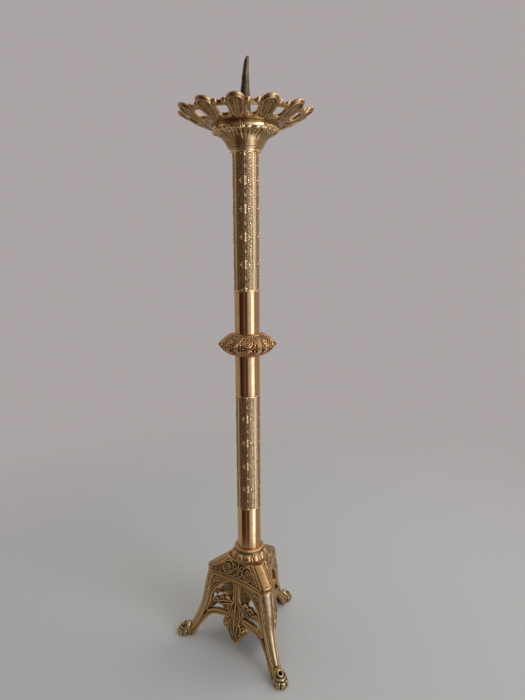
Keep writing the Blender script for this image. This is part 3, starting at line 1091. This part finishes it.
def roof_chart():
    """Relief of one roof face as a table: u across from the middle, v up from the eaves."""
    u, v = np.arange(0.0, 47.0, 0.2), np.arange(-1.0, 19.0, 0.2)
    U, Vv = np.meshgrid(u, v, indexing="ij")
    rel = np.zeros_like(U)
    # large scroll medallion
    ang, cx, cy = 0.28, 14.6, 8.8
    px = (U - cx) * math.cos(ang) + (Vv - cy) * math.sin(ang)
    py = -(U - cx) * math.sin(ang) + (Vv - cy) * math.cos(ang)
    q = np.hypot(px / 7.3, py / 8.1)
    rel = np.maximum(rel, bead((q - 1.0) * 7.6, 1.05, 1.5))
    sp = [(px0, py0) for px0, py0 in spiral(0.0, 0.0, 5.2, 0.9, 200, 1.6, 40)]
    rel = np.maximum(rel, bead(seg_dist(px, py * 0.92, sp), 0.85, 1.35))
    rel = np.maximum(rel, 1.5 * np.sqrt(np.clip(1 - (q / 0.2) ** 2, 0, 1)))
    # small second scroll towards the corner
    rel = np.maximum(rel, bead(seg_dist(U, Vv, spiral(25.6, 5.6, 4.2, 0.8, 60, -1.5, 36)), 0.8, 1.25))
    # stem and leaves in the middle
    rel = np.maximum(rel, bead(U, 1.0, 1.3) * step(Vv, 0.5, 2.0))
    rel = np.maximum(rel, bead(np.hypot(U - 3.9, (Vv - 5.4) * 0.6) - 2.4, 0.8, 1.1))
    rel = np.maximum(rel, bead(seg_dist(U, Vv, smooth_chain([(0.5, 9.5), (3.4, 12.6), (6.4, 16.2)], 4)), 0.8, 1.1))
    rel = np.maximum(rel, bead(seg_dist(U, Vv, smooth_chain([(20.5, 15.5), (22.8, 12.4), (25.4, 11.2), (29.0, 9.6)], 4)), 0.75, 1.0))
    ground = 0.16 * np.cos(2 * PI * (U * 0.8 + Vv) / 1.9) * np.cos(2 * PI * (U * 0.8 - Vv) / 2.1)
    return rel + np.where(rel < 0.1, ground, 0.0)


def cap():
    h = 0.5
    chart = roof_chart()
    xs = np.arange(-60.0, 60.1, h)
    zs = np.arange(98.8, 125.0, h)
    X, Y, Z = np.meshgrid(xs, xs, zs, indexing="ij")
    zc = np.clip(Z, 99.0, 123.6)
    Rz, Dz = np.interp(zc, CAP_Z, CAP_R), np.interp(zc, CAP_Z, CAP_D)
    dc, sc = 0.5 * Rz + SQ3 / 2 * 7.5, SQ3 / 2 * Rz - 3.75
    F = np.full(X.shape, -99.0)
    inner = np.full(X.shape, -99.0)
    for az in (0.0, 120.0, 240.0):
        a = math.radians(az)
        d = X * math.cos(a) + Y * math.sin(a)
        s = -X * math.sin(a) + Y * math.cos(a)
        S = abs(s)
        ds = Dz + (dc - Dz) * (S / sc) ** 2
        sel = d > 8
        # relief chart: s across, y up the face
        y = Z - 105.0
        rel = np.zeros_like(X)
        ridge_off = (SQ3 / 2 * d - 0.5 * S) - 7.5              # distance from the ridge band's edge
        lim = S < 46
        ux = np.where(lim & sel, S, 99.0)
        fu, fv = np.clip(ux / 0.2, 0, chart.shape[0] - 1.01), np.clip((y + 1.0) / 0.2, 0, chart.shape[1] - 1.01)
        iu, iv = fu.astype(int), fv.astype(int)
        fu, fv = fu - iu, fv - iv
        rel = ((chart[iu, iv] * (1 - fu) + chart[iu + 1, iv] * fu) * (1 - fv) + (chart[iu, iv + 1] * (1 - fu) + chart[iu + 1, iv + 1] * fu) * fv) * step(ridge_off, 3.0, 4.2)
        # lines running down beside the ridge
        rel = np.maximum(rel, bead(ridge_off - 0.2, 0.75, 1.0) * step(y, 0.6, 1.6))
        rel = np.maximum(rel, bead(ridge_off - 2.6, 0.75, 1.0) * step(y, 0.6, 1.6))
        rel = np.maximum(rel, bead(ridge_off - 5.0, 0.75, 0.9) * step(y, 0.6, 1.6) * step(ux, 20, 24))
        rel = np.maximum(rel, bead(ridge_off - 7.4, 0.7, 0.8) * step(y, 0.6, 1.6) * step(ux, 24, 28))
        rel = rel * (y > 0.2) * (y < 17.5)
        rel = np.maximum(rel, bead(Z - 103.9, 1.2, 1.2))
        rel = np.where(sel, rel, 0)
        grad = 0.86
        F = np.maximum(F, (d - ds - 0.8 * rel + 0.6) * grad)
        di = np.interp(zc, [99.0, 105.0, 110.5, 118.0, 123.6], [23.0, 23.2, 21.8, 19.5, 15.0])
        inner = np.maximum(inner, d - di - 0.9 * (ds - Dz))
    for az in (60.0, 180.0, -60.0):
        a = math.radians(az)
        r = X * math.cos(a) + Y * math.sin(a)
        o = abs(-X * math.sin(a) + Y * math.cos(a))
        crown = 2.6 * np.clip(o / 7.5, 0, 1.35) ** 2.6 + 1.2 * step(o, 4.6, 5.4)
        g2 = np.where(Z < 107.5, 1.0, 0.62)
        lip = 0.8 * np.exp(-((Z - 106.9) / 1.1) ** 2)
        F = smax(F, (r - (Rz + lip - crown)) * g2, 0.8)
        inner = np.maximum(inner, r - (Rz - 6.5))
    F = smax(F, Z - 123.6, 0.3)
    F = np.maximum(F, 100.0 - Z)
    inner = np.maximum(inner, Z - 118.0)
    F = np.maximum(F, -inner)
    F = np.maximum(F, 10.0 - np.hypot(X, Y))
    G, Q = nets(F)
    P = np.stack([xs[0] + G[:, 0] * h, xs[0] + G[:, 1] * h, zs[0] + G[:, 2] * h], 1)
    P = relax(P, Q, 1, 0.5)
    P, Q = drop_crumbs(P, Q)
    rr = np.hypot(P[:, 0], P[:, 1])
    ex = np.maximum(step(-P[:, 2], -101.0, -100.2) * 0.8, np.exp(-((rr - 24.0) / 2.5) ** 2) * 0.7 * (P[:, 2] > 120))
    make("shoulder_cap_roof", P, Q, M_CAST, "stand", ["shoulder_cap"], cav=(3, 12), gain=(3.2, 2.0), extra=ex)


cap()

# ------------------------------------------- CAD pieces that keep their shape
for n, m in (("joint_pins", M_STEEL), ("clamp_plate", M_STEEL), ("clamp_screws", M_STEEL), ("bottom_washer", M_STEEL), ("bottom_nut", M_STEEL),
             ("tie_rod", M_STEEL), ("top_washer", M_STEEL), ("top_nut", M_STEEL), ("pricket_washer", M_STEEL),
             ("ferrule_1", M_BRASS_IN), ("ferrule_2", M_BRASS_IN), ("ferrule_3", M_BRASS_IN), ("ferrule_4", M_BRASS_IN), ("ferrule_5", M_BRASS_IN), ("ferrule_6", M_BRASS_IN)):
    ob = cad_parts[n]
    ob.data.materials.clear()
    ob.data.materials.append(m)

# --------------------------------------------------------------------- stage
me = bpy.data.meshes.new("floor")
N = 3.0
me.from_pydata([(-N, -N, 0), (N, -N, 0), (N, N, 0), (-N, N, 0)], [], [(0, 1, 2, 3)])
floor = bpy.data.objects.new("floor", me)
bpy.context.scene.collection.objects.link(floor)
floor.location.z = -0.0001
fm = bpy.data.materials.new("floor_paint")
fm.use_nodes = True
nt = fm.node_tree
b = nt.nodes["Principled BSDF"]
b.inputs["Base Color"].default_value = (0.585, 0.595, 0.565, 1)
b.inputs["Roughness"].default_value = 0.6
b.inputs["Specular IOR Level"].default_value = 0.2
tr = nt.nodes.new("ShaderNodeBsdfTransparent")
lp = nt.nodes.new("ShaderNodeLightPath")
geo = nt.nodes.new("ShaderNodeNewGeometry")
ln = nt.nodes.new("ShaderNodeVectorMath")
ln.operation = "LENGTH"
nt.links.new(geo.outputs["Position"], ln.inputs[0])
far = mathn(nt, "GREATER_THAN", ln.outputs["Value"], 0.24)
fac = mathn(nt, "MULTIPLY", far, lp.outputs["Is Glossy Ray"])
fade = nt.nodes.new("ShaderNodeMapRange")
fade.interpolation_type = "SMOOTHSTEP"
fade.inputs["From Min"].default_value = 0.30
fade.inputs["From Max"].default_value = 1.00
nt.links.new(ln.outputs["Value"], fade.inputs["Value"])
fac = mathn(nt, "MAXIMUM", fac, fade.outputs[0])
mx = nt.nodes.new("ShaderNodeMixShader")
nt.links.new(fac, mx.inputs[0])
nt.links.new(b.outputs[0], mx.inputs[1])
nt.links.new(tr.outputs[0], mx.inputs[2])
nt.links.new(mx.outputs[0], nt.nodes["Material Output"].inputs["Surface"])
me.materials.append(fm)

# --------------------------------------------------------------------- world
sc = bpy.context.scene
w = bpy.data.worlds.new("studio")
sc.world = w
w.use_nodes = True
nt = w.node_tree
nt.nodes.clear()
tc = nt.nodes.new("ShaderNodeTexCoord").outputs["Generated"]
sx = nt.nodes.new("ShaderNodeSeparateXYZ")
nt.links.new(tc, sx.inputs[0])
az = mathn(nt, "ARCTAN2", sx.outputs["Y"], sx.outputs["X"])          # -pi..pi, -pi/2 is towards -Y


def sector(centre_deg, half_deg, soft_deg):
    """1 inside a sector of azimuth, 0 outside, with soft edges."""
    d = mathn(nt, "SUBTRACT", az, math.radians(centre_deg))
    c = mathn(nt, "COSINE", d)
    lo, hi = math.cos(math.radians(half_deg + soft_deg)), math.cos(math.radians(max(half_deg - soft_deg, 0.1)))
    mr = nt.nodes.new("ShaderNodeMapRange")
    mr.interpolation_type = "SMOOTHSTEP"
    mr.inputs["From Min"].default_value = lo
    mr.inputs["From Max"].default_value = hi
    nt.links.new(c, mr.inputs["Value"])
    return mr.outputs[0]


CAM_AZ = -83.8
col = (0.40, 0.375, 0.365)


def lay(mask, colour):
    global col
    col = mix_col(nt, mask, col, colour)


lay(sector(CAM_AZ - 36.0, 38.0, 5.0), (0.075, 0.045, 0.035))
lay(sector(CAM_AZ - 62.0, 10.0, 5.0), (0.035, 0.018, 0.012))
lay(sector(CAM_AZ - 24.0, 6.0, 5.0), (0.19, 0.13, 0.12))
lowz = nt.nodes.new("ShaderNodeMapRange")
lowz.interpolation_type = "SMOOTHSTEP"
lowz.inputs["From Min"].default_value = 0.85
lowz.inputs["From Max"].default_value = 0.6
nt.links.new(sx.outputs["Z"], lowz.inputs["Value"])
lay(mathn(nt, "MULTIPLY", sector(CAM_AZ + 23.0, 11.0, 4.0), lowz.outputs[0]), (0.72, 0.74, 0.86))
lay(mathn(nt, "MULTIPLY", sector(CAM_AZ + 51.0, 13.0, 5.0), lowz.outputs[0]), (2.3, 2.65, 3.8))
up = nt.nodes.new("ShaderNodeMapRange")
up.inputs["From Min"].default_value = 0.35
up.inputs["From Max"].default_value = 0.95
nt.links.new(sx.outputs["Z"], up.inputs["Value"])
lay(up.outputs[0], (0.50, 0.48, 0.47))
bg1 = nt.nodes.new("ShaderNodeBackground")
nt.links.new(col, bg1.inputs["Color"])
bg2 = nt.nodes.new("ShaderNodeBackground")
bg2.inputs["Color"].default_value = (0.412, 0.374, 0.374, 1)
lp = nt.nodes.new("ShaderNodeLightPath")
mx = nt.nodes.new("ShaderNodeMixShader")
nt.links.new(lp.outputs["Is Camera Ray"], mx.inputs[0])
nt.links.new(bg1.outputs[0], mx.inputs[1])
nt.links.new(bg2.outputs[0], mx.inputs[2])
out = nt.nodes.new("ShaderNodeOutputWorld")
nt.links.new(mx.outputs[0], out.inputs["Surface"])


def area(name, loc, target, size, power, col=(1, 1, 1)):
    L = bpy.data.lights.new(name, "AREA")
    L.shape = "RECTANGLE"
    L.size, L.size_y = size
    L.energy = power
    L.color = col
    o = bpy.data.objects.new(name, L)
    sc.collection.objects.link(o)
    o.location = loc
    o.rotation_mode = "QUATERNION"
    o.rotation_quaternion = (Vector(target) - Vector(loc)).to_track_quat("-Z", "Y")
    return o


area("key_soft", (0.95, 0.45, 1.25), (0, 0, 0.3), (0.9, 0.9), 4.3, (1.0, 0.98, 0.96))
area("fill_front", (0.88, -0.55, 1.12), (0, 0, 0.2), (0.5, 0.8), 2.3, (1.0, 0.98, 0.95))

# -------------------------------------------------------------------- camera
cam = bpy.data.cameras.new("camera")
cam.sensor_width = 36.0
cam.lens = 529.7 / 700.0 * 36.0
cam.clip_start, cam.clip_end = 0.01, 20.0
co = bpy.data.objects.new("camera", cam)
sc.collection.objects.link(co)
fw = Vector((-0.0771294, 0.97482752, -0.20919457))
upv = Vector((-0.01297658, 0.20882031, 0.97786793))
rt = fw.cross(upv).normalized()
upv = rt.cross(fw).normalized()
M = Matrix(((rt.x, upv.x, -fw.x, 0.067311), (rt.y, upv.y, -fw.y, -0.620119), (rt.z, upv.z, -fw.z, 0.530585), (0, 0, 0, 1)))
co.matrix_world = M
sc.camera = co
sc.view_settings.view_transform = "Standard"
sc.view_settings.look = "None"
